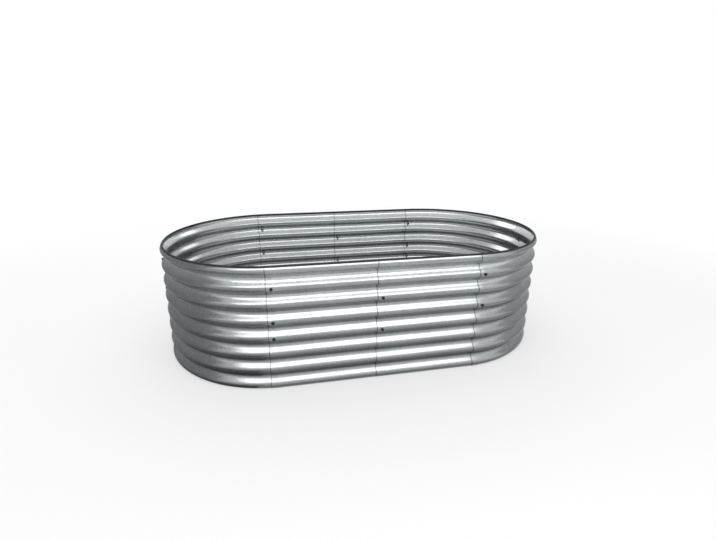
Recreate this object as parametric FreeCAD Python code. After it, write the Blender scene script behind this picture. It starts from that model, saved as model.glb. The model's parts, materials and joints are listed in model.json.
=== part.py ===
"""Oval raised garden bed of corrugated galvanised sheet: eight lapped panels, bolted at
eight seams, with a rubber edging strip pressed over the rim.

Millimetres. Origin on the ground at the middle of the bed, +X along it, +Z up, front at -Y.
"Offset" is the distance outwards from the middle line of the wall, and a "station" is the
distance along that line, counted anticlockwise seen from above, from the middle of the front.
"""

import FreeCAD, Part
import math
import os

# ---- driving dimensions -------------------------------------------------------------------

HEIGHT = 432.0            # ground to the sheet's top edge
PANEL_PITCH = 362.0       # bolt line to bolt line on a straight panel
END_RADIUS = 394.0        # round end, to the middle line of the wall
ROUND_START = 24.0        # how far before the straight panels' outer bolt lines the end turns in
SEAM_LEAD = 7.0           # every bolt line stands this far round from its place by symmetry

WAVE_COUNT = 7.5          # corrugations in the height, which starts and ends at mid-wave
WAVE_DEPTH = 18.0         # crest to valley, on the sheet's middle line
SHEET = 0.8               # sheet thickness
END_FLATS = 19            # flats round one end, for its smooth curve; odd, so its seam has one

LAP = 34.0                # how far two panels overlap
LAP_GAP = 0.1             # left between lapped sheets on the slopes, where they come closest
BOLT_CRESTS = {           # crests that hold a bolt, counted down from the rim
    "end": (1, 3, 5),
    "outer_left": (1, 3, 4),
    "middle": (2, 4),
    "outer_right": (1, 3),
}

BOLT_RADIUS = 3.0         # shank
BOLT_LENGTH = 12.0        # under the head
BOLT_HEAD_FLATS = 10.0    # across the flats of the head, and of the nut
BOLT_HEAD_HEIGHT = 4.0
NUT_HEIGHT = 5.0
HOLE_CLEARANCE = 0.4      # round the shank, in the sheets
THREAD_CLEARANCE = 0.1    # round the shank, in the nut
SEAT_GAP = 0.1            # between a head or a nut and the sheet that it bears on

EDGING_GRIP = 5.0         # how far the edging reaches down the sheet
EDGING_WALL = 1.5         # its legs and its back
EDGING_CLEARANCE = 0.15   # between its legs and the lapped sheets
EDGING_BUTT_GAP = 1.0     # between its two ends, at the back of the bed

# ---- derived dimensions -------------------------------------------------------------------

STRAIGHT_HALF = PANEL_PITCH - ROUND_START
WAVE_PITCH = HEIGHT / WAVE_COUNT
WAVE_AMPLITUDE = WAVE_DEPTH / 2
POINTS_PER_WAVE = 8
SHORTEST_FLAT = 0.5       # a piece that ends this near a corner of the wall ends at the corner
SHANK_SIDES = 8
HEX_SIDES = 6

UP = FreeCAD.Vector(0, 0, 1)


def wave_offset(waves_down):
    """Offset of the sheet's middle line, this many wavelengths below the rim."""
    return WAVE_AMPLITUDE * math.sin(2 * math.pi * waves_down)


# The slopes of the pressed flats: beside a crest, and through mid-wave.
SHOULDER_RISE = WAVE_AMPLITUDE - wave_offset(1 / POINTS_PER_WAVE)
SHOULDER_SLOPE = math.atan2(SHOULDER_RISE, WAVE_PITCH / POINTS_PER_WAVE)
FLANK_SLOPE = math.atan2(wave_offset(1 / POINTS_PER_WAVE), WAVE_PITCH / POINTS_PER_WAVE)

LAYER_SHIFT = (SHEET + LAP_GAP) / math.cos(FLANK_SLOPE)   # between two lapped sheets
SHEET_AT_CREST = SHEET / math.cos(SHOULDER_SLOPE)         # thickness level with the ridge


# ---- the wall's line, seen from above -----------------------------------------------------

def end_corners(turn_start, centre_x):
    """Corners of one round end, evenly spaced on its half circle."""
    step = math.pi / END_FLATS
    corners = []
    for i in range(END_FLATS + 1):
        turn = turn_start + i * step
        x = centre_x + END_RADIUS * math.sin(turn)
        corners.append(FreeCAD.Vector(x, -END_RADIUS * math.cos(turn), 0))
    return corners


class WallLine:
    """The closed line that the middle of the wall follows."""

    def __init__(self):
        right = end_corners(0, STRAIGHT_HALF)
        left = end_corners(math.pi, -STRAIGHT_HALF)
        self.corners = left[-1:] + right + left
        self.stations = [-STRAIGHT_HALF]
        for here, there in zip(self.corners, self.corners[1:]):
            self.stations.append(self.stations[-1] + here.distanceToPoint(there))
        self.length = self.stations[-1] - self.stations[0]

    def in_first_round(self, station):
        return (station - self.stations[0]) % self.length + self.stations[0]

    def leg_at(self, station):
        """Index of the flat that a station lies on."""
        place = self.in_first_round(station)
        return max(i for i, start in enumerate(self.stations[:-1]) if start <= place)

    def along(self, leg):
        return (self.corners[leg + 1] - self.corners[leg]).normalize()

    def outward(self, leg):
        return self.along(leg).cross(UP)

    def point(self, station):
        leg = self.leg_at(station)
        past_corner = self.in_first_round(station) - self.stations[leg]
        return self.corners[leg] + self.along(leg) * past_corner

    def sections(self, start, end):
        """Where a swept piece changes direction: (point, mitred outward vector) pairs."""
        just_past = start + SHORTEST_FLAT
        leg = self.leg_at(just_past)
        past_corner = self.in_first_round(just_past) - self.stations[leg] - SHORTEST_FLAT
        found = [(self.corners[leg] + self.along(leg) * past_corner, self.outward(leg))]
        leg_end = start - past_corner + self.stations[leg + 1] - self.stations[leg]
        while leg_end < end - SHORTEST_FLAT:
            following = (leg + 1) % (len(self.corners) - 1)
            bisector = self.outward(leg) + self.outward(following)
            mitre = bisector * (2 / bisector.dot(bisector))
            found.append((self.corners[leg + 1], mitre))
            leg = following
            leg_end += self.stations[leg + 1] - self.stations[leg]
        past_end = self.along(leg) * (end - leg_end)
        found.append((self.corners[leg + 1] + past_end, self.outward(leg)))
        return found


LINE = WallLine()


def polygon_face(points):
    return Part.Face(Part.makePolygon(points + points[:1]))


def swept(outline, start, end):
    """Solid of a closed (offset, height) outline, carried along the wall from start to end."""
    rings = []
    for point, outward in LINE.sections(start, end):
        rings.append([point + outward * offset + UP * z for offset, z in outline])
    faces = [polygon_face(rings[0]), polygon_face(rings[-1])]
    count = len(outline)
    for near, far in zip(rings, rings[1:]):
        for i in range(count):
            j = (i + 1) % count
            faces.append(polygon_face([near[i], near[j], far[j], far[i]]))
    solid = Part.Solid(Part.Shell(faces))
    if solid.Volume < 0:
        solid.reverse()
    return solid


# ---- corrugated panels --------------------------------------------------------------------

def wave_line():
    """(offset, height) points of the sheet's middle line, from the rim down.

    The pressed wave has a ridge at each crest and valley and a shoulder half way down each
    side, and its slopes run straight through mid-wave.
    """
    last = round(WAVE_COUNT * POINTS_PER_WAVE)
    points = []
    for i in range(last + 1):
        mid_wave = i % (POINTS_PER_WAVE // 2) == 0
        if mid_wave and 0 < i < last:
            continue
        waves_down = i / POINTS_PER_WAVE
        points.append((wave_offset(waves_down), HEIGHT - WAVE_PITCH * waves_down))
    return points


def beside(points, distance):
    """The same line moved sideways by distance, square to each flat; its ends stay level."""
    moved = []
    for i, (offset, z) in enumerate(points):
        slopes = []
        for j in (max(i - 1, 0), min(i, len(points) - 2)):
            run = points[j + 1][0] - points[j][0]
            drop = points[j][1] - points[j + 1][1]
            slopes.append(math.atan2(run, drop))
        before, after = slopes
        if i in (0, len(points) - 1):
            moved.append((offset + distance / math.cos(after), z))
            continue
        reach = distance / math.cos((after - before) / 2)
        middle = (before + after) / 2
        moved.append((offset + reach * math.cos(middle), z + reach * math.sin(middle)))
    return moved


def sheet_outline():
    line = wave_line()
    outer = beside(line, SHEET / 2)
    inner = beside(line, -SHEET / 2)
    return outer + inner[::-1]


class Seam:
    """One bolted lap: its station on the wall and the crests that hold its bolts."""

    def __init__(self, station, crests):
        self.station = station
        self.heights = [HEIGHT - WAVE_PITCH * (crest + 0.25) for crest in crests]
        self.point = LINE.point(station)
        self.outward = LINE.outward(LINE.leg_at(station))

    def axis_points(self, offset):
        """One point on each bolt's axis, at this offset."""
        return [self.point + self.outward * offset + UP * z for z in self.heights]


def half_seams(start, outer_left, outer_right, end):
    """The seams of half the bed, in order, from its first outer bolt line to its end."""
    stations = (-PANEL_PITCH, 0, PANEL_PITCH, LINE.length / 4)
    crests = (outer_left, BOLT_CRESTS["middle"], outer_right, end)
    return [Seam(start + SEAM_LEAD + s, c) for s, c in zip(stations, crests)]


def all_seams():
    """Eight seams. The back is the front turned by half a turn."""
    seams = []
    for start in (0, LINE.length / 2):
        outer_left = BOLT_CRESTS["outer_left"]
        outer_right = BOLT_CRESTS["outer_right"]
        seams += half_seams(start, outer_left, outer_right, BOLT_CRESTS["end"])
    return seams


def bolt_holes(seam):
    """Prisms to cut through both sheets of a seam, one for each of its bolts."""
    radius = BOLT_RADIUS + HOLE_CLEARANCE
    return [
        prism(point, seam.outward, SHANK_SIDES, radius, WAVE_DEPTH)
        for point in seam.axis_points(0)
    ]


def panel(first_seam, last_seam, last_station):
    """A panel from one seam to the next: it laps over the one before, under the one after.

    A straight panel is turned about its middle, and a round one is shifted, so that it lies
    half a layer out at its first seam and half a layer in at its last.
    """
    solid = swept(sheet_outline(), first_seam.station - LAP / 2, last_station + LAP / 2)
    likeness = first_seam.outward.dot(last_seam.outward)
    if likeness > 0.5:
        middle = (first_seam.point + last_seam.point) / 2
        span = first_seam.point.distanceToPoint(last_seam.point)
        solid.rotate(middle, UP, math.degrees(LAYER_SHIFT / span))
    else:
        shift = LAYER_SHIFT / 2 / (1 - likeness)
        solid.translate((first_seam.outward - last_seam.outward) * shift)
    return solid.cut(bolt_holes(first_seam) + bolt_holes(last_seam))


# ---- fasteners ----------------------------------------------------------------------------

def prism(start, direction, sides, radius, length):
    """A regular prism with a flat on top, standing at start along direction."""
    across = direction.cross(UP).normalize()
    points = []
    for i in range(sides):
        turn = 2 * math.pi * i / sides
        if sides != HEX_SIDES:
            turn += math.pi / sides
        points.append(start + across * (radius * math.cos(turn)) + UP * (radius * math.sin(turn)))
    return polygon_face(points).extrude(direction * length)


def hex_radius():
    return BOLT_HEAD_FLATS / 2 / math.cos(math.pi / HEX_SIDES)


def head_seat():
    """Offset of the underside of a bolt head, on the ridge of the outer sheet."""
    return WAVE_AMPLITUDE + SHEET_AT_CREST / 2 + LAYER_SHIFT / 2 + SEAT_GAP


def nut_seat():
    """Offset of a nut's outer face, whose upper and lower edges meet the inner sheet."""
    ridge = WAVE_AMPLITUDE - SHEET_AT_CREST / 2 - LAYER_SHIFT / 2
    return ridge - BOLT_HEAD_FLATS / 2 * math.tan(SHOULDER_SLOPE) - SEAT_GAP


def bolts(seam):
    made = []
    for point in seam.axis_points(head_seat()):
        head = prism(point, seam.outward, HEX_SIDES, hex_radius(), BOLT_HEAD_HEIGHT)
        shank = prism(point, -seam.outward, SHANK_SIDES, BOLT_RADIUS, BOLT_LENGTH)
        made.append(head.fuse(shank))
    return made


def nuts(seam):
    made = []
    for point in seam.axis_points(nut_seat()):
        body = prism(point, -seam.outward, HEX_SIDES, hex_radius(), NUT_HEIGHT)
        radius = BOLT_RADIUS + THREAD_CLEARANCE
        made.append(body.cut(prism(point, -seam.outward, SHANK_SIDES, radius, NUT_HEIGHT)))
    return made


# ---- rubber edging ------------------------------------------------------------------------

def edging_outline():
    """A U that grips the slanting top of the wall, as (offset, height) points."""
    half_slot = SHEET / 2 + LAYER_SHIFT / 2 * math.cos(FLANK_SLOPE) + EDGING_CLEARANCE
    highest_corner = (SHEET / 2) * math.tan(FLANK_SLOPE) + LAYER_SHIFT / 2 * math.sin(FLANK_SLOPE)
    slot_top = -highest_corner - EDGING_CLEARANCE
    back = slot_top - EDGING_WALL
    half_width = half_slot + EDGING_WALL
    tip = EDGING_GRIP
    section = [
        (back, -half_width), (tip, -half_width), (tip, -half_slot), (slot_top, -half_slot),
        (slot_top, half_slot), (tip, half_slot), (tip, half_width), (back, half_width),
    ]
    sine, cosine = math.sin(FLANK_SLOPE), math.cos(FLANK_SLOPE)
    return [(d * sine + v * cosine, HEIGHT - d * cosine + v * sine) for d, v in section]


def rim_edging():
    start = LINE.length / 2 + SEAM_LEAD + PANEL_PITCH / 2
    return swept(edging_outline(), start, start + LINE.length - EDGING_BUTT_GAP)


# ---- the parts ----------------------------------------------------------------------------

PANEL_NAMES = (
    "front_left_panel", "front_right_panel", "right_end_front_panel", "right_end_back_panel",
    "back_right_panel", "back_left_panel", "left_end_back_panel", "left_end_front_panel",
)
SEAM_NAMES = (
    "front_left", "front_middle", "front_right", "right_end",
    "back_right", "back_middle", "back_left", "left_end",
)


def export(name, shape):
    shape.exportStep(os.path.join("parts", name + ".step"))
    print(name, len(shape.Solids), "solids", round(shape.Volume), "mm3", shape.isValid())


def main():
    os.makedirs("parts", exist_ok=True)
    seams = all_seams()
    for i, name in enumerate(PANEL_NAMES):
        first, last = seams[i], seams[(i + 1) % len(seams)]
        last_station = last.station + (LINE.length if last.station < first.station else 0)
        export(name, panel(first, last, last_station))
    for name, seam in zip(SEAM_NAMES, seams):
        export(name + "_bolts", Part.makeCompound(bolts(seam)))
        export(name + "_nuts", Part.makeCompound(nuts(seam)))
    export("rim_edging", rim_edging())


main()
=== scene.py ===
"""Looks of the oval raised garden bed: smooth corrugated galvanised panels, black bolts, zinc
nuts and the rubber rim edging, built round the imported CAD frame, with a plain studio.

Metres, in the CAD's frame: origin on the ground at the middle of the bed, +X along it, +Z up,
front at -Y. A "station" is a distance along the wall's middle line, counted anticlockwise seen
from above, from the middle of the front. An "offset" is a distance outwards from that line.
"""

import json
import math

import bpy
import numpy as np
from mathutils import Matrix, Vector


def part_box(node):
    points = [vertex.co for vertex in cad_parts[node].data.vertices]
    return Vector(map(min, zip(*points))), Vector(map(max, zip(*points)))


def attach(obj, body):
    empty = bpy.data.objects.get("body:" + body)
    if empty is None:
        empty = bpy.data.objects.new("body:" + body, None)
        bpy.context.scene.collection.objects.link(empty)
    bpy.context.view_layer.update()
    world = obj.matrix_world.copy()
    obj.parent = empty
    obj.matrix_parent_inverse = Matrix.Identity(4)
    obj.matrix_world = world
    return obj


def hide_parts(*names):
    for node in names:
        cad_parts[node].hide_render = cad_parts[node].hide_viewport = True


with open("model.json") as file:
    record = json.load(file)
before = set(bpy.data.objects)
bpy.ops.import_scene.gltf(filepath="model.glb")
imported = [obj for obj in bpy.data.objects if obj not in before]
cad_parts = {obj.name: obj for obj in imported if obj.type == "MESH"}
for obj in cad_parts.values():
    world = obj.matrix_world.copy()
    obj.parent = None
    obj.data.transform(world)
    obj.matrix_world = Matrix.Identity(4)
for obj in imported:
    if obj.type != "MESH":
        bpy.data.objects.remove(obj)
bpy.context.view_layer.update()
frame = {"nodes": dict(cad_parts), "record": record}

bl_info = {
    "name": "Raised garden bed",
    "version": (1, 0, 0),
    "blender": (4, 5, 0),
    "location": "3D View > Sidebar > Garden bed",
    "description": "Builds an oval corrugated raised garden bed round its CAD frame",
    "category": "Object",
}

BODY = "root"
UP = np.array([0.0, 0.0, 1.0])

PANELS = ("front_left_panel", "front_right_panel", "right_end_front_panel", "right_end_back_panel",
          "back_right_panel", "back_left_panel", "left_end_back_panel", "left_end_front_panel")
SEAMS = ("front_left", "front_middle", "front_right", "right_end",
         "back_right", "back_middle", "back_left", "left_end")

# Read off the CAD: the height of the sheets, the straight walls' middle line, how far the bolt
# heads stand out from it, and where that line crosses the X axis at each end.
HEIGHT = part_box("front_left_panel")[1].z
SIDE = -frame["record"]["mounts"][0]["pos_m"][1]
HEAD_TOP = -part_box("front_middle_bolts")[0].y - SIDE
END_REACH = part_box("right_end_bolts")[1].x - HEAD_TOP
HAIR = 0.00005                   # how far the bolt heads stay within the CAD's


# ---- settings -------------------------------------------------------------------------------

def length(name, description, default):
    return bpy.props.FloatProperty(name=name, description=description, default=default,
                                   min=0.0, unit="LENGTH", precision=5)


def share(name, description, default):
    return bpy.props.FloatProperty(name=name, description=description, default=default,
                                   min=0.0, max=1.0, subtype="FACTOR")


def colour(name, description, default):
    return bpy.props.FloatVectorProperty(name=name, description=description, default=default,
                                         min=0.0, max=1.0, size=3, subtype="COLOR")


def power(name, description, default):
    return bpy.props.FloatProperty(name=name, description=description, default=default,
                                   min=0.0, unit="POWER")


class PanelSizes(bpy.types.PropertyGroup):
    straight_half: length("Straight half", "Middle of the bed to where an end turns in", 0.338)
    wave_pitch: length("Wave pitch", "Crest to crest of the corrugation", 0.0576)
    wave_depth: length("Wave depth", "Crest to valley of the corrugation", 0.018)
    sheet: length("Sheet", "Sheet thickness", 0.0008)
    layer: length("Layer", "Between the middles of two lapped sheets", 0.0012)
    lap: length("Lap", "How far two panels overlap", 0.034)
    row: length("Row", "Longest mesh step down the sheet", 0.0029)
    column: length("Column", "Longest mesh step along the sheet", 0.007)


class FastenerSizes(bpy.types.PropertyGroup):
    shank: length("Shank", "Radius of the bolt's thread", 0.003)
    bolt_length: length("Bolt length", "Under the head", 0.012)
    thread_pitch: length("Thread pitch", "One turn of the thread", 0.001)
    flats: length("Flats", "Across the flats of a head or nut", 0.010)
    collar: length("Collar", "Radius of the round face under the head", 0.0047)
    collar_height: length("Collar height", "Thickness of that face", 0.0004)
    nut_height: length("Nut height", "Thickness of a nut", 0.005)
    nut_seat: length("Nut seat", "Offset of a nut's outer face", 0.00604)


class EdgingSizes(bpy.types.PropertyGroup):
    grip: length("Grip", "How far the edging reaches down the sheet", 0.005)
    wall: length("Wall", "Thickness of its legs and back", 0.0015)
    half_slot: length("Half slot", "Half the width of its slot", 0.001)
    butt_gap: length("Butt gap", "Between its two ends, at the back of the bed", 0.001)
    joint: length("Joint", "Middle of the back to the gap between its two ends", 0.188)


class Finishes(bpy.types.PropertyGroup):
    zinc: colour("Zinc", "Bare galvanised sheet", (0.42, 0.44, 0.449))
    # Painted shade: slopes that face down are darkened to stand in for the darker ground that they
    # reflect.
    zinc_painted_shade: colour("Zinc under", "Duller sheet on slopes that face down", (0.153, 0.162, 0.166))
    spangle: length("Spangle", "Width of a crystal of the zinc", 0.0045)
    bolt: colour("Bolt", "Black coating of the bolts", (0.012, 0.012, 0.013))
    bolt_rubbed: colour("Bolt, rubbed", "Coating where it is rubbed", (0.04, 0.04, 0.04))
    nut: colour("Nut", "Plated nuts", (0.50, 0.50, 0.48))
    nut_dull: colour("Nut, dull", "Plating where it has dulled", (0.34, 0.33, 0.31))
    rubber: colour("Rubber", "Rim edging", (0.02, 0.02, 0.021))
    dust: colour("Dust", "Dust on top of the edging", (0.09, 0.085, 0.08))


class StageSettings(bpy.types.PropertyGroup):
    floor: colour("Floor", "Plain pale floor", (0.84, 0.84, 0.84))
    level: colour("Level", "Light that the white surroundings cast", (0.80, 0.80, 0.80))
    left_card: colour("Left card", "Tall card beyond the left end", (0.32, 0.32, 0.33))
    right_card: colour("Right card", "Tall card beyond the right end", (0.50, 0.50, 0.51))
    left_mat: colour("Left mat", "Mat by the left end, and the low card", (0.63, 0.63, 0.63))
    back_mat: colour("Back mat", "Mat on the floor behind that one", (0.36, 0.36, 0.36))
    right_mat: colour("Right mat", "Mat on the floor by the right end", (0.60, 0.60, 0.60))
    strip: colour("Strip", "Dark strip along the front softbox", (0.02, 0.02, 0.02))
    front_power: power("Front softbox", "Power of the softbox in front", 33.5)
    back_power: power("Back softbox", "Power of the softbox behind", 26.0)
    softbox_width: length("Softbox width", "Side to side", 3.8)
    softbox_depth: length("Softbox depth", "Near edge to far edge", 1.1)
    softbox_away: length("Softbox away", "Its middle from the bed's, seen from above", 1.88)
    softbox_height: length("Softbox height", "Above the floor", 2.3)
    near_white: share("Near white", "How white the floor is by the bed, over its shadow", 0.5)
    fade_from: length("Fade from", "Bed's middle to where the floor starts to whiten", 1.3)
    fade_to: length("Fade to", "Bed's middle to where the floor is white", 3.0)


# ---- the wall's line, seen from above -------------------------------------------------------

END_POINTS = 721                 # along each round end of the wall's line


class WallLine:
    """The closed line that the middle of the wall follows: two straights and two round ends."""

    def __init__(self, straight_half):
        turn = np.linspace(-math.pi / 2, math.pi / 2, END_POINTS)
        reach = END_REACH - straight_half
        end = np.column_stack([straight_half + reach * np.cos(turn), SIDE * np.sin(turn)])
        facing = np.column_stack([np.cos(turn) / reach, np.sin(turn) / SIDE])
        facing /= np.linalg.norm(facing, axis=1)[:, None]
        middle, ahead = np.array([[0.0, -SIDE]]), np.array([[0.0, -1.0]])
        self.points = np.vstack([middle, end, -end, middle])
        self.normals = np.vstack([ahead, facing, -facing, ahead])
        steps = np.linalg.norm(np.diff(self.points, axis=0), axis=1)
        self.stations = np.concatenate([[0.0], np.cumsum(steps)])
        self.length = self.stations[-1]

    def at(self, stations):
        """Points on the line and its outward directions, as rows of x, y, 0."""
        place = np.mod(stations, self.length)
        rows = []
        for values in (self.points, self.normals):
            x, y = (np.interp(place, self.stations, values[:, k]) for k in (0, 1))
            rows.append(np.column_stack([x, y, np.zeros_like(x)]))
        return rows[0], rows[1] / np.linalg.norm(rows[1], axis=1)[:, None]

    def station_of(self, x, y):
        """The station of the line's point that is nearest to x, y."""
        gaps = np.hypot(self.points[:, 0] - x, self.points[:, 1] - y)
        near = int(np.argmin(gaps))
        low, high = max(near - 1, 0), min(near + 1, len(self.points) - 1)
        run = self.points[high] - self.points[low]
        along = np.clip((np.array([x, y]) - self.points[low]) @ run / (run @ run), 0, 1)
        return float(self.stations[low] + along * (self.stations[high] - self.stations[low]))


def wall_line():
    return WallLine(bpy.context.scene.bed_panels.straight_half)


def seam_station(line, seam):
    """The station of a seam's bolts, from where the CAD holds their nuts."""
    low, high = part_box(seam + "_nuts")
    middle = (low + high) / 2
    return line.station_of(middle.x, middle.y)


def bolt_heights(seam):
    """The heights of a seam's bolts, from the CAD: each bolt is a run of heights of its own."""
    heights = sorted(v.co.z for v in frame["nodes"][seam + "_nuts"].data.vertices)
    apart = bpy.context.scene.bed_panels.wave_pitch / 2
    runs = [[heights[0]]]
    for z in heights:
        if z - runs[-1][-1] > apart:
            runs.append([])
        runs[-1].append(z)
    return [(min(run) + max(run)) / 2 for run in runs]


# ---- meshes ---------------------------------------------------------------------------------

SHARP_EDGE = math.radians(38)


class Shape:
    """Points and faces gathered for one piece."""

    def __init__(self):
        self.points, self.faces = [], []

    def add(self, points, faces):
        start = len(self.points)
        self.points += [tuple(p) for p in points]
        self.faces += [tuple(start + i for i in face) for face in faces]


def ring_faces(rings, count, closed=False):
    """Faces between rings of points that run in order, with a cap on each end if not closed."""
    faces = []
    for k in range(rings if closed else rings - 1):
        here, there = k * count, (k + 1) % rings * count
        for i in range(count):
            j = (i + 1) % count
            faces.append((here + i, here + j, there + j, there + i))
    if not closed:
        faces.append(tuple(reversed(range(count))))
        faces.append(tuple(range((rings - 1) * count, rings * count)))
    return faces


def strip_faces(sections, half):
    """Faces of a thin strip: each section has half its points down one side, half back up."""
    count = 2 * half
    faces = ring_faces(sections, count)[:-2]      # all but the caps
    last = (sections - 1) * count
    for i in range(half - 1):
        back, next_back = count - 1 - i, count - 2 - i
        faces.append((i, back, next_back, i + 1))
        faces.append((last + i, last + i + 1, last + next_back, last + back))
    return faces


def piece(name, shape, material, nodes):
    """A finished object that rides on the bed and stands for these CAD nodes."""
    mesh = bpy.data.meshes.new(name)
    mesh.from_pydata(shape.points, [], shape.faces)
    mesh.validate()
    mesh.shade_smooth()
    mesh.set_sharp_from_angle(angle=SHARP_EDGE)
    mesh.materials.append(material)
    made = bpy.data.objects.new(name, mesh)
    bpy.context.scene.collection.objects.link(made)
    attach(made, BODY)
    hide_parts(*nodes)
    return made


def swept(line, stations, outline, offsets):
    """Points of a closed (offset, height) outline at each station, shifted by its offset."""
    points, outward = line.at(stations)
    rows = []
    for point, out, extra in zip(points, outward, offsets):
        rows.append(point + np.outer(outline[:, 0] + extra, out) + np.outer(outline[:, 1], UP))
    return np.vstack(rows)


# ---- corrugated panels ----------------------------------------------------------------------

EDGE_STEPS = np.array([0.0, 0.0007, 0.0014, 0.0024, 0.004])  # mesh columns next to an edge
MICRON = 6                       # decimals of a metre


def sheet_sides(sizes):
    """Outer and inner (offset, height) lines of the corrugated sheet, from the rim down."""
    rows = math.ceil(HEIGHT / sizes.row)
    down = np.linspace(0, HEIGHT, rows + 1)
    turn = 2 * math.pi / sizes.wave_pitch
    offset = sizes.wave_depth / 2 * np.sin(turn * down)
    slope = np.arctan(sizes.wave_depth / 2 * turn * np.cos(turn * down))
    middle = np.column_stack([offset, HEIGHT - down])
    square = np.column_stack([np.cos(slope), np.sin(slope)])
    sideways = np.array([1.0, 0.0])
    # The top and bottom edges are cut level, so both sides reach them at the same height.
    square[0] = sideways / math.cos(slope[0])
    square[-1] = sideways / math.cos(slope[-1])
    return middle + square * sizes.sheet / 2, middle - square * sizes.sheet / 2


def sheet_stations(start, end, sizes):
    """Where the mesh has its columns: close together by the panel's own edges, and by those of
    the panels that lie over and under its ends."""
    columns = math.ceil((end - start) / sizes.column)
    even = np.linspace(start, end, columns + 1)
    first = [start + EDGE_STEPS, start + sizes.lap + EDGE_STEPS]
    last = [end - EDGE_STEPS, end - sizes.lap - EDGE_STEPS]
    return np.unique(np.concatenate([even, *first, *last]).round(MICRON))


def from_lap_edges(stations, rows):
    """How far each point is from an edge that shows: outside, that of the panel lying over this
    one's end, and this one's own at its start, and inside, the other two."""
    start, end = stations[0], stations[-1]
    lap = bpy.context.scene.bed_panels.lap
    outside = np.minimum(stations - start, np.abs(stations - end + lap))
    inside = np.minimum(end - stations, np.abs(stations - start - lap))
    return np.column_stack([outside] * rows + [inside] * rows).ravel()


def panel(line, name, first, last, material):
    """One panel. It lies half a layer out at its first seam and half a layer in at its last. Its
    material reads the unrolled map and the two marks, lap_edge, and crest, which runs from 0 in
    a valley to 1 on a crest of the side that is seen."""
    sizes = bpy.context.scene.bed_panels
    stations = sheet_stations(first - sizes.lap / 2, last + sizes.lap / 2, sizes)
    outer, inner = sheet_sides(sizes)
    outline = np.vstack([outer, inner[::-1]])
    layers = sizes.layer * (0.5 - (stations - first) / (last - first))
    shape = Shape()
    shape.add(swept(line, stations, outline, layers), strip_faces(len(stations), len(outer)))
    made = piece("sheet_" + name, shape, material, [name])
    down = np.concatenate([[0.0], np.cumsum(np.linalg.norm(np.diff(outer, axis=0), axis=1))])
    across = np.concatenate([down, down[::-1]])
    unrolled = np.column_stack([np.repeat(stations, len(across)), np.tile(across, len(stations))])
    lay_flat(made.data, unrolled)
    # lap_edge places the painted shadow along the edges of the laps.
    mark(made.data, "lap_edge", from_lap_edges(stations, len(outer)))
    # crest places the painted light in valleys and the painted shade on crests.
    crest = 0.5 + outer[:, 0] / sizes.wave_depth
    mark(made.data, "crest", np.tile(np.concatenate([crest, 1 - crest[::-1]]), len(stations)))
    return made


def lay_flat(mesh, places):
    """A map of the sheet as it was before it was bent, in metres."""
    layer = mesh.uv_layers.new(name="unrolled")
    corners = np.zeros(len(mesh.loops), int)
    mesh.loops.foreach_get("vertex_index", corners)
    layer.uv.foreach_set("vector", places[corners].astype(np.float32).ravel())


def mark(mesh, name, values):
    """One number at each point of the mesh, for its material."""
    layer = mesh.attributes.new(name, "FLOAT", "POINT")
    layer.data.foreach_set("value", values.astype(np.float32))


# ---- fasteners ------------------------------------------------------------------------------

ROUND = 24                       # points round a fastener
TURNS = np.arange(ROUND) * 2 * math.pi / ROUND
CHAMFER = math.tan(math.radians(30))
FACE_SHARE = 0.95                # a chamfer's round face, of half the flats
THREAD_DEPTH = 0.55              # of the pitch
THREAD_RINGS = 6                 # in one turn
THREAD_SLOPE = 1.15              # over 1, so that the bottom of the thread is flat
THREAD_STOP = 0.001              # under the head
NECK = 0.0008                    # bare shank under the head
TIP_SHARE = 0.72                 # the bolt's tip, of its shank's radius
TIP_CONE = 0.0005                # height of the cone there
DISH_SHARE = 0.28                # radius of the dish in the head, of the flats
DISH_WALL = 0.0004
DISH_DEPTH = 0.0003
BORE_PLAY = 0.0001               # between the bolt and a nut's bore
BORE_CHAMFER = 0.0004


def circle(radius, along):
    """A ring of points. The radius and the height may differ from point to point."""
    return np.column_stack([radius * np.cos(TURNS), radius * np.sin(TURNS), np.full(ROUND, along)])


def chamfered(flats, top, way):
    """The upper or lower end of a hexagon's sides, cut by a cone, and the round face in it. The
    hexagon lies with a flat on top."""
    from_flat = np.mod(TURNS, math.pi / 3) - math.pi / 6
    sides = flats / 2 / np.cos(from_flat)
    face = flats / 2 * FACE_SHARE
    return circle(sides, top - way * (sides - face) * CHAMFER), circle(face, top)


def thread(radius, pitch, start, end):
    """Rings of a screw thread between two places on the axis."""
    depth = THREAD_DEPTH * pitch
    rings = []
    for along in np.arange(start, end, pitch / THREAD_RINGS):
        phase = np.mod(along / pitch - TURNS / (2 * math.pi), 1.0)
        cut = depth * (1 - np.abs(2 * phase - 1)) * THREAD_SLOPE
        rings.append(circle(radius - np.clip(cut, 0, depth), along))
    return rings


def bolt_rings(sizes, head_height):
    """A hex bolt along its axis, from its tip to the top of its head, with a round face under
    the head and a dish in its top."""
    tip = -sizes.bolt_length
    rings = [circle(sizes.shank * TIP_SHARE, tip)]
    rings += thread(sizes.shank, sizes.thread_pitch, tip + TIP_CONE, -THREAD_STOP)
    rings += [circle(sizes.shank, -NECK), circle(sizes.shank, 0.0)]
    rings += [circle(sizes.collar, 0.0), circle(sizes.collar, sizes.collar_height)]
    low_side, low_face = chamfered(sizes.flats, sizes.collar_height, -1)
    side, face = chamfered(sizes.flats, head_height, 1)
    rings += [low_face, low_side, side, face]
    dish = sizes.flats * DISH_SHARE
    rings += [circle(dish, head_height), circle(dish - DISH_WALL, head_height - DISH_DEPTH)]
    return rings


def nut_rings(sizes):
    """A hex nut along its axis, closed on itself through its bore."""
    top = sizes.nut_height
    bore = sizes.shank + BORE_PLAY
    mouth = bore + BORE_CHAMFER
    low_side, low_face = chamfered(sizes.flats, 0.0, -1)
    side, face = chamfered(sizes.flats, top, 1)
    rings = [circle(mouth, 0.0), low_face, low_side, side, face, circle(mouth, top)]
    return rings + [circle(bore, top - BORE_CHAMFER), circle(bore, BORE_CHAMFER)]


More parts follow.
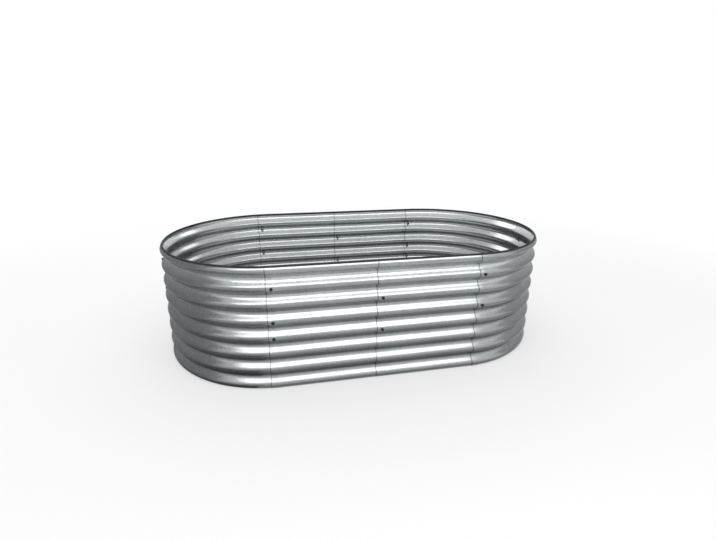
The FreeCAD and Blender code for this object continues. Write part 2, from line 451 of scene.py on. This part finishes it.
def placed(rings, point, outward):
    """Rings drawn round the Z axis, laid along outward with their second axis up."""
    across = np.cross(UP, outward)
    return point + np.vstack(rings) @ np.vstack([across, UP, outward])


def seam_fasteners(line, seam, rings, offset, closed):
    """One set of rings at each bolt of a seam, standing at this offset."""
    points, outward = line.at(np.array([seam_station(line, seam)]))
    shape = Shape()
    for z in bolt_heights(seam):
        at = points[0] + outward[0] * offset + UP * z
        shape.add(placed(rings, at, outward[0]), ring_faces(len(rings), ROUND, closed))
    return shape


# ---- rubber edging --------------------------------------------------------------------------

TIP_TURNS = np.radians([20, 50, 75, 90])          # round the tip of a leg, from its end
BEND_TURNS = np.radians(np.linspace(90, 270, 15))  # round the U's bend, from leg to leg


def arc(centre, radius, turns):
    return [(centre[0] + radius * math.cos(t), centre[1] + radius * math.sin(t)) for t in turns]


def edging_sides(sizes, sheet_turn):
    """Outer and inner lines of the edging's U, as (offset, height) points. It is drawn as (depth
    down the sheet, across it), and then leans with the sheet at the rim."""
    tip_radius = sizes.wall / 2
    leg_end = (sizes.grip - tip_radius, sizes.half_slot + tip_radius)
    half_width = sizes.half_slot + sizes.wall
    sides = []
    for way, radius in ((1, half_width), (-1, sizes.half_slot)):
        tip = arc(leg_end, tip_radius, way * TIP_TURNS)
        other_tip = [(down, -across) for down, across in reversed(tip)]
        side = np.array(tip + arc((0.0, 0.0), radius, BEND_TURNS) + other_tip)
        down, across = side[:, 0], side[:, 1]
        offset = down * math.sin(sheet_turn) + across * math.cos(sheet_turn)
        drop = down * math.cos(sheet_turn) - across * math.sin(sheet_turn)
        sides.append(np.column_stack([offset, HEIGHT - drop]))
    return sides


# ---- materials ------------------------------------------------------------------------------

WHOLE = (0.0, 1.0)
MIDDLE = (0.25, 0.75)            # the range that a noise keeps within, near enough
CORE = (0.3, 0.7)                # where most of a noise lies
FINE = 0.0001                    # heights of bumps
COARSE = 0.0004
COATED_GLOSS = 0.3               # specular level of the black coating and the rubber


class Recipe:
    """A material's nodes, added one after another."""

    def __init__(self, name):
        self.material = bpy.data.materials.new(name)
        self.material.use_nodes = True
        self.tree = self.material.node_tree
        self.shader = self.tree.nodes["Principled BSDF"]

    def feed(self, node, socket, value):
        """Link a value to a node's socket, or set it. A socket goes by name or by number."""
        target = node.inputs[int(socket)] if socket.isdigit() else node.inputs[socket]
        if isinstance(value, bpy.types.NodeSocket):
            self.tree.links.new(value, target)
        else:
            target.default_value = value

    def node(self, kind, settings=None, **inputs):
        made = self.tree.nodes.new("ShaderNode" + kind)
        for key, value in (settings or {}).items():
            setattr(made, key, value)
        for key, value in inputs.items():
            self.feed(made, key.replace("_", " "), value)
        return made

    def place(self):
        return self.node("TexCoord").outputs["Object"]

    def rise(self):
        """The upward part of the surface's normal."""
        normal = self.node("NewGeometry").outputs["Normal"]
        return self.node("SeparateXYZ", Vector=normal).outputs["Z"]

    def mark(self, name):
        return self.node("Attribute", {"attribute_name": name}).outputs["Fac"]

    def calculate(self, operation, first, second):
        sockets = {"0": first, "1": second}
        return self.node("Math", {"operation": operation}, **sockets).outputs[0]

    def times(self, first, *others):
        for other in others:
            first = self.calculate("MULTIPLY", first, other)
        return first

    def ramp(self, value, span, result, smooth=False):
        """Run a value's span, from its low to its high end, onto a result."""
        settings = {"interpolation_type": "SMOOTHSTEP" if smooth else "LINEAR"}
        ends = {"From_Min": span[0], "From_Max": span[1], "To_Min": result[0], "To_Max": result[1]}
        return self.node("MapRange", settings, Value=value, **ends).outputs["Result"]

    def mix(self, kind, factor, first, second):
        settings = {"data_type": "RGBA", "blend_type": kind}
        colours = [c if isinstance(c, bpy.types.NodeSocket) else (*c, 1.0) for c in (first, second)]
        sockets = {"0": factor, "6": colours[0], "7": colours[1]}
        return self.node("Mix", settings, **sockets).outputs[2]

    def noise(self, place, scale, detail, roughness):
        inputs = {"Vector": place, "Scale": scale, "Detail": detail, "Roughness": roughness}
        return self.node("TexNoise", **inputs).outputs["Fac"]

    def crystals(self, place, scale):
        """A random colour for each cell of a flat pattern."""
        made = self.node("TexVoronoi", {"voronoi_dimensions": "2D"}, Vector=place, Scale=scale)
        return made.outputs["Color"]

    def stretched(self, place, scale):
        return self.node("Mapping", Vector=place, Scale=scale).outputs["Vector"]

    def bump(self, height, strength, distance, **under):
        made = self.node("Bump", Height=height, Strength=strength, Distance=distance, **under)
        return made.outputs["Normal"]

    def finish(self, **inputs):
        for socket, value in inputs.items():
            self.feed(self.shader, socket.replace("_", " "), value)
        return self.material


# Tones multiply the zinc's colour, and a pair of them runs from low to high.
CELL_TONE = (0.93, 1.07)
STREAK_TONE = (0.91, 1.09)
GRAIN_TONE = (0.96, 1.04)
CLOUD_TONE = (0.95, 1.05)
# Painted shade on crests and painted light in valleys: crests darker, valleys lighter, and lighter
# still near the rim.
CREST_TONE = 0.91
VALLEY_TONE = (1.09, 1.6)        # painted light in valleys: deeper than the next line's depth below the rim, and at the rim
PAINTED_LIGHT_DEPTH = 0.15
LAP_SHADOW_TONE = (0.10, 1.0)           # painted shadow along the lap: on the edge that laps over, and LAP_SHADE away from it
LAP_SHADE = 0.0017
STREAK_STRETCH = (6.0, 260.0, 1.0)
CELL_ROUGHNESS = (0.21, 0.27)
GRAIN_ROUGHNESS = (-0.02, 0.02)  # adds to that
UNDERSIDE = (0.90, -0.25)        # upward part of the normal, from no painted shade to full painted shade
UNDERSIDE_SHARE = (0.10, 1.0)    # how much painted shade undersides get at the rim, and at the ground


def galvanised_sheet():
    """Zinc coated sheet: crystals and rolling streaks, with painted shade on undersides and crests,
    painted light in valleys and a painted shadow along the lap edges.
    """
    finishes = bpy.context.scene.bed_finishes
    r = Recipe("galvanised sheet")
    flat = r.node("UVMap", {"uv_map": "unrolled"}).outputs["UV"]
    place = r.place()
    height = r.node("SeparateXYZ", Vector=place).outputs["Z"]
    crystals = r.crystals(flat, scale=1 / finishes.spangle)
    cell = r.node("SeparateColor", Color=crystals).outputs
    streaks = r.noise(r.stretched(flat, STREAK_STRETCH), scale=1.0, detail=3.0, roughness=0.6)
    grain = r.noise(place, scale=900.0, detail=2.0, roughness=0.6)
    clouds = r.noise(place, scale=7.0, detail=3.0, roughness=0.55)

    # Painted shade on slopes that face down, stronger towards the ground, standing in for the
    # darker ground that they reflect.
    facing_down = r.ramp(r.rise(), UNDERSIDE, WHOLE, smooth=True)
    under = r.times(facing_down, r.ramp(height, (HEIGHT, 0.0), UNDERSIDE_SHARE))
    base = r.mix("MIX", under, finishes.zinc, finishes.zinc_painted_shade)
    # Painted light and shade on the waves, by the crest mark: valleys lighter, most of all near the
    # rim, and crests darker.
    valley = r.ramp(height, (HEIGHT - PAINTED_LIGHT_DEPTH, HEIGHT), VALLEY_TONE)
    tone = r.times(r.ramp(cell["Red"], WHOLE, CELL_TONE),
                   r.ramp(streaks, MIDDLE, STREAK_TONE),
                   r.ramp(grain, MIDDLE, GRAIN_TONE),
                   r.ramp(clouds, CORE, CLOUD_TONE),
                   r.ramp(r.mark("crest"), WHOLE, (valley, CREST_TONE)),
                   # painted shadow along the lap edges
                   r.ramp(r.mark("lap_edge"), (0.0, LAP_SHADE), LAP_SHADOW_TONE, smooth=True))
    toned = r.node("CombineColor", Red=tone, Green=tone, Blue=tone).outputs["Color"]
    base = r.mix("MULTIPLY", 1.0, base, toned)

    rough = r.ramp(cell["Green"], WHOLE, CELL_ROUGHNESS)
    rough = r.calculate("ADD", rough, r.ramp(grain, MIDDLE, GRAIN_ROUGHNESS))
    hollows = r.noise(place, scale=30.0, detail=2.0, roughness=0.5)
    dents = r.bump(hollows, strength=0.15, distance=COARSE)
    ground = r.bump(grain, strength=0.05, distance=FINE, Normal=dents)
    return r.finish(Base_Color=base, Metallic=1.0, Roughness=rough, Normal=ground)


RUBBED = (0.62, 0.74)            # the peaks of a noise
RUBBED_SHARE = (0.0, 0.5)
COATING_ROUGHNESS = (0.38, 0.55)


def black_coating():
    """Thin black coating with a slight orange peel, rubbed brighter in places."""
    finishes = bpy.context.scene.bed_finishes
    r = Recipe("black coated steel")
    place = r.place()
    wear = r.noise(place, scale=420.0, detail=3.0, roughness=0.6)
    rubbed = r.ramp(wear, RUBBED, RUBBED_SHARE, smooth=True)
    base = r.mix("MIX", rubbed, finishes.bolt, finishes.bolt_rubbed)
    sheen = r.noise(place, scale=900.0, detail=2.0, roughness=0.5)
    rough = r.ramp(sheen, CORE, COATING_ROUGHNESS)
    orange_peel = r.noise(place, scale=1500.0, detail=1.0, roughness=0.5)
    peel = r.bump(orange_peel, strength=0.2, distance=FINE)
    return r.finish(Base_Color=base, Specular_IOR_Level=COATED_GLOSS, Roughness=rough, Normal=peel)


DULLED = (0.35, 0.7)             # the upper part of a noise
PLATE_ROUGHNESS = (0.28, 0.5)    # bright, and dulled
PLATE_STRETCH = (300.0, 300.0, 2500.0)


def zinc_plate():
    """Bright zinc plating, dulled in patches."""
    finishes = bpy.context.scene.bed_finishes
    r = Recipe("zinc plated steel")
    place = r.place()
    patches = r.noise(place, scale=260.0, detail=3.0, roughness=0.6)
    dull = r.ramp(patches, DULLED, WHOLE, smooth=True)
    base = r.mix("MIX", dull, finishes.nut, finishes.nut_dull)
    rough = r.ramp(dull, WHOLE, PLATE_ROUGHNESS)
    grooves = r.noise(r.stretched(place, PLATE_STRETCH), scale=1.0, detail=2.0, roughness=0.5)
    marks = r.bump(grooves, strength=0.15, distance=FINE)
    return r.finish(Base_Color=base, Metallic=1.0, Roughness=rough, Normal=marks)


TOP_FACING = (0.2, 1.0)          # upward part of the normal, where dust can lie
DUSTY = (0.4, 0.75)              # the upper part of a noise
DUST_SHARE = (0.0, 0.3)
RUBBER_ROUGHNESS = (0.5, 0.68)


def edging_rubber():
    """Matt black rubber with a fine grain and a little dust on top."""
    finishes = bpy.context.scene.bed_finishes
    r = Recipe("edging rubber")
    place = r.place()
    on_top = r.ramp(r.rise(), TOP_FACING, WHOLE, smooth=True)
    patches = r.noise(place, scale=60.0, detail=4.0, roughness=0.65)
    dust = r.times(on_top, r.ramp(patches, DUSTY, DUST_SHARE, smooth=True))
    base = r.mix("MIX", dust, finishes.rubber, finishes.dust)
    sheen = r.noise(place, scale=500.0, detail=2.0, roughness=0.5)
    rough = r.ramp(sheen, CORE, RUBBER_ROUGHNESS)
    pores = r.noise(place, scale=1200.0, detail=2.0, roughness=0.5)
    grain = r.bump(pores, strength=0.25, distance=FINE)
    return r.finish(Base_Color=base, Specular_IOR_Level=COATED_GLOSS, Roughness=rough, Normal=grain)


def plain_floor(settings):
    """Pale and matt round the bed, where it holds the shadow, and white further out."""
    r = Recipe("plain pale floor")
    r.finish(Base_Color=(*settings.floor, 1.0), Roughness=1.0, Specular_IOR_Level=0.0)
    away = r.node("VectorMath", {"operation": "LENGTH"}, Vector=r.place()).outputs["Value"]
    fade = (settings.fade_from, settings.fade_to)
    white_share = r.ramp(away, fade, (settings.near_white, 1.0), smooth=True)
    white = r.node("Emission").outputs["Emission"]
    white_share = r.times(white_share, seen_share(r.tree))
    sockets = {"0": white_share, "1": r.shader.outputs["BSDF"], "2": white}
    mixed = r.node("MixShader", **sockets).outputs["Shader"]
    r.feed(r.tree.nodes["Material Output"], "Surface", mixed)
    return r.material


def seen_share(tree):
    """1 for what the camera sees straight, or in or through the object, and 0 for cast light."""
    rays = tree.nodes.new("ShaderNodeLightPath").outputs
    total = rays["Is Camera Ray"]
    for name in ("Is Glossy Ray", "Is Transmission Ray"):
        both = tree.nodes.new("ShaderNodeMath")
        both.operation = "MAXIMUM"
        tree.links.new(total, both.inputs[0])
        tree.links.new(rays[name], both.inputs[1])
        total = both.outputs[0]
    return total


def grey_card(tint):
    r = Recipe("grey card")
    return r.finish(Base_Color=(*tint, 1.0), Roughness=1.0, Specular_IOR_Level=0.0)


# ---- operators ------------------------------------------------------------------------------

class BED_OT_panels(bpy.types.Operator):
    """Make the eight corrugated panels"""

    bl_idname = "bed.panels"
    bl_label = "Corrugated panels"

    def execute(self, context):
        line = wall_line()
        material = galvanised_sheet()
        stations = [seam_station(line, seam) for seam in SEAMS]
        stations[0] -= line.length    # the first seam is just before the line's start
        for i, name in enumerate(PANELS):
            first = stations[i]
            last = stations[i + 1] if i + 1 < len(stations) else stations[0] + line.length
            panel(line, name, first, last, material)
        return {"FINISHED"}


class BED_OT_bolts(bpy.types.Operator):
    """Make the black bolts of every seam"""

    bl_idname = "bed.bolts"
    bl_label = "Bolts"

    def execute(self, context):
        line = wall_line()
        panels, sizes = context.scene.bed_panels, context.scene.bed_fasteners
        seat = panels.wave_depth / 2 + panels.sheet / 2 + panels.layer / 2
        material = black_coating()
        rings = bolt_rings(sizes, HEAD_TOP - HAIR - seat)
        for seam in SEAMS:
            shape = seam_fasteners(line, seam, rings, seat, closed=False)
            piece("bolts_" + seam, shape, material, [seam + "_bolts"])
        return {"FINISHED"}


class BED_OT_nuts(bpy.types.Operator):
    """Make the plated nuts of every seam"""

    bl_idname = "bed.nuts"
    bl_label = "Nuts"

    def execute(self, context):
        line = wall_line()
        sizes = context.scene.bed_fasteners
        material = zinc_plate()
        rings = nut_rings(sizes)
        inner_face = sizes.nut_seat - sizes.nut_height
        for seam in SEAMS:
            shape = seam_fasteners(line, seam, rings, inner_face, closed=True)
            piece("nuts_" + seam, shape, material, [seam + "_nuts"])
        return {"FINISHED"}


class BED_OT_edging(bpy.types.Operator):
    """Make the rubber edging along the rim"""

    bl_idname = "bed.edging"
    bl_label = "Rim edging"

    def execute(self, context):
        line = wall_line()
        panels, sizes = context.scene.bed_panels, context.scene.bed_edging
        grip_drop = sizes.grip / 2
        rise = panels.wave_depth / 2 * math.sin(2 * math.pi * grip_drop / panels.wave_pitch)
        outer, inner = edging_sides(sizes, math.atan2(rise, grip_drop))
        outline = np.vstack([outer, inner[::-1]])
        start = line.length / 2 + sizes.joint
        end = start + line.length - sizes.butt_gap
        stations = np.linspace(start, end, math.ceil((end - start) / panels.column))
        shape = Shape()
        points = swept(line, stations, outline, np.zeros(len(stations)))
        shape.add(points, strip_faces(len(stations), len(outer)))
        piece("edging_rim", shape, edging_rubber(), ["rim_edging"])
        return {"FINISHED"}


class BED_OT_stage(bpy.types.Operator):
    """Make the floor, the light and the camera"""

    bl_idname = "bed.stage"
    bl_label = "Floor, light and camera"

    def execute(self, context):
        settings = context.scene.bed_stage
        make_floor(settings)
        make_world(context.scene, settings)
        make_cards(settings)
        make_softbox("softbox_front", settings.front_power, -settings.softbox_away, settings)
        make_softbox("softbox_back", settings.back_power, settings.softbox_away, settings)
        make_camera(context.scene)
        context.scene.view_settings.view_transform = "Standard"
        return {"FINISHED"}


# ---- stage ----------------------------------------------------------------------------------

FLOOR_HALF = 40.0                # middle of the floor to its edges
CARD_AWAY = 2.2                  # from the bed's middle
CARD_LINE = (-0.9, 3.5)          # where a card starts and ends along Y
CARD_HEIGHT = 2.6
LOW_CARD_HEIGHT = 0.9
SLANT_X, SLANT_Y = 1.0, -3.2     # end of the low card, behind the camera, as the mats do in Y
SOFTBOX_X = -0.2                 # both softboxes stand a little to the left
STRIP_Y = (-1.36, -1.20)         # along the edge of the front softbox that is nearest the bed
STRIP_PAST = 0.3                 # how far it runs past the softbox at each end
STRIP_DROP = 0.01                # below the softbox
MAT_RISE = 0.002                 # above the floor
MAT_SPLIT = -0.55                # along Y, between the two mats on the left
LEFT_MAT_FROM = 0.42             # from the bed's middle, under its round end
RIGHT_MAT_FROM = 0.75            # from the bed's middle, past its round end

PHOTO_WIDTH = 716                # pixels
FOCAL_PIXELS = 450.2             # focal length of the photograph's camera
SENSOR = 36.0                    # millimetres
CLIP = (0.01, 200.0)             # metres in front of the camera that it shows
CAMERA_AT = Vector((-0.370, -1.735, 0.870))
CAMERA_YAW = math.radians(12.33)
CAMERA_PITCH = math.radians(18.82)
CAMERA_ROLL = math.radians(0.37)


def plane(name, corners, material):
    mesh = bpy.data.meshes.new(name)
    mesh.from_pydata(corners, [], [(0, 1, 2, 3)])
    mesh.materials.append(material)
    made = bpy.data.objects.new(name, mesh)
    bpy.context.scene.collection.objects.link(made)
    return made


def make_floor(settings):
    h = FLOOR_HALF
    plane("floor", [(-h, -h, 0), (h, -h, 0), (h, h, 0), (-h, h, 0)], plain_floor(settings))


def make_cards(settings):
    """Tall cards beyond the ends of the bed, a low one slanting in from the left one towards the
    camera, mats on the floor, and a dark strip along the front softbox. They only show in the
    metal."""
    x = CARD_AWAY
    near, far = CARD_LINE
    stand("card_left", (-x, near), (-x, far), CARD_HEIGHT, settings.left_card)
    stand("card_right", (x, near), (x, far), CARD_HEIGHT, settings.right_card)
    stand("low_card_left", (-SLANT_X, SLANT_Y), (-x, near), LOW_CARD_HEIGHT, settings.left_mat)
    lay("mat_front_left", (-x, -LEFT_MAT_FROM), (SLANT_Y, MAT_SPLIT), MAT_RISE, settings.left_mat)
    lay("mat_back_left", (-x, -LEFT_MAT_FROM), (MAT_SPLIT, far), MAT_RISE, settings.back_mat)
    lay("mat_right", (RIGHT_MAT_FROM, x), (SLANT_Y, far), MAT_RISE, settings.right_mat)
    half = settings.softbox_width / 2 + STRIP_PAST
    strip_height = settings.softbox_height - STRIP_DROP
    lay("dark_strip", (SOFTBOX_X - half, SOFTBOX_X + half), STRIP_Y, strip_height, settings.strip)


def stand(name, start, end, height, tint):
    only_in_metal(name, [(*start, 0), (*end, 0), (*end, height), (*start, height)], tint)


def lay(name, x, y, z, tint):
    """A level sheet at the height z, between two places along X and two along Y."""
    corners = [(x[0], y[0], z), (x[1], y[0], z), (x[1], y[1], z), (x[0], y[1], z)]
    only_in_metal(name, corners, tint)


def only_in_metal(name, corners, tint):
    card = plane(name, corners, grey_card(tuple(tint)))
    card.visible_camera = False
    card.visible_diffuse = False
    card.visible_shadow = False


def make_world(scene, settings):
    """White surroundings, which cast a softer light than they show."""
    world = bpy.data.worlds.new("studio")
    world.use_nodes = True
    scene.world = world
    tree = world.node_tree
    mix = tree.nodes.new("ShaderNodeMix")
    mix.data_type = "RGBA"
    tree.links.new(seen_share(tree), mix.inputs[0])
    mix.inputs[6].default_value = (*settings.level, 1.0)
    mix.inputs[7].default_value = (1.0, 1.0, 1.0, 1.0)
    tree.links.new(mix.outputs[2], tree.nodes["Background"].inputs["Color"])


def make_softbox(name, power, y, settings):
    """A large softbox overhead, to the front or the back of the bed."""
    light = bpy.data.lights.new(name, "AREA")
    light.shape = "RECTANGLE"
    light.size, light.size_y = settings.softbox_width, settings.softbox_depth
    light.energy = power
    lamp = bpy.data.objects.new(name, light)
    lamp.location = (SOFTBOX_X, y, settings.softbox_height)
    lamp.visible_camera = False
    bpy.context.scene.collection.objects.link(lamp)


def make_camera(scene):
    data = bpy.data.cameras.new("camera")
    data.sensor_width = SENSOR
    data.sensor_fit = "HORIZONTAL"
    data.lens = SENSOR * FOCAL_PIXELS / PHOTO_WIDTH
    data.clip_start, data.clip_end = CLIP
    camera = bpy.data.objects.new("camera", data)
    scene.collection.objects.link(camera)
    reach = math.cos(CAMERA_PITCH)
    ahead = Vector((math.sin(CAMERA_YAW) * reach, math.cos(CAMERA_YAW) * reach,
                    -math.sin(CAMERA_PITCH)))
    right = Vector((math.cos(CAMERA_YAW), -math.sin(CAMERA_YAW), 0.0))
    up = right.cross(ahead)
    turned = right * math.cos(CAMERA_ROLL) + up * math.sin(CAMERA_ROLL)
    upright = up * math.cos(CAMERA_ROLL) - right * math.sin(CAMERA_ROLL)
    axes = Matrix((turned, upright, -ahead)).transposed()
    camera.matrix_world = Matrix.Translation(CAMERA_AT) @ axes.to_4x4()
    scene.camera = camera


# ---- panel and registration -----------------------------------------------------------------

GROUPS = (("bed_panels", PanelSizes), ("bed_fasteners", FastenerSizes), ("bed_edging", EdgingSizes),
          ("bed_finishes", Finishes), ("bed_stage", StageSettings))
OPERATORS = (BED_OT_panels, BED_OT_bolts, BED_OT_nuts, BED_OT_edging, BED_OT_stage)


class BED_PT_sidebar(bpy.types.Panel):
    """Buttons and settings of the garden bed"""

    bl_idname = "BED_PT_sidebar"
    bl_label = "Raised garden bed"
    bl_space_type = "VIEW_3D"
    bl_region_type = "UI"
    bl_category = "Garden bed"

    def draw(self, context):
        for operator in OPERATORS:
            self.layout.operator(operator.bl_idname)
        for name, group in GROUPS:
            box = self.layout.box()
            for key in group.__annotations__:
                box.prop(getattr(context.scene, name), key)


def register():
    for name, group in GROUPS:
        bpy.utils.register_class(group)
        setattr(bpy.types.Scene, name, bpy.props.PointerProperty(type=group))
    for made in (*OPERATORS, BED_PT_sidebar):
        bpy.utils.register_class(made)


def unregister():
    for made in (BED_PT_sidebar, *reversed(OPERATORS)):
        bpy.utils.unregister_class(made)
    for name, group in reversed(GROUPS):
        delattr(bpy.types.Scene, name)
        bpy.utils.unregister_class(group)


def main():
    register()
    bpy.ops.bed.panels()
    bpy.ops.bed.bolts()
    bpy.ops.bed.nuts()
    bpy.ops.bed.edging()
    bpy.ops.bed.stage()


if __name__ == "__main__":
    main()
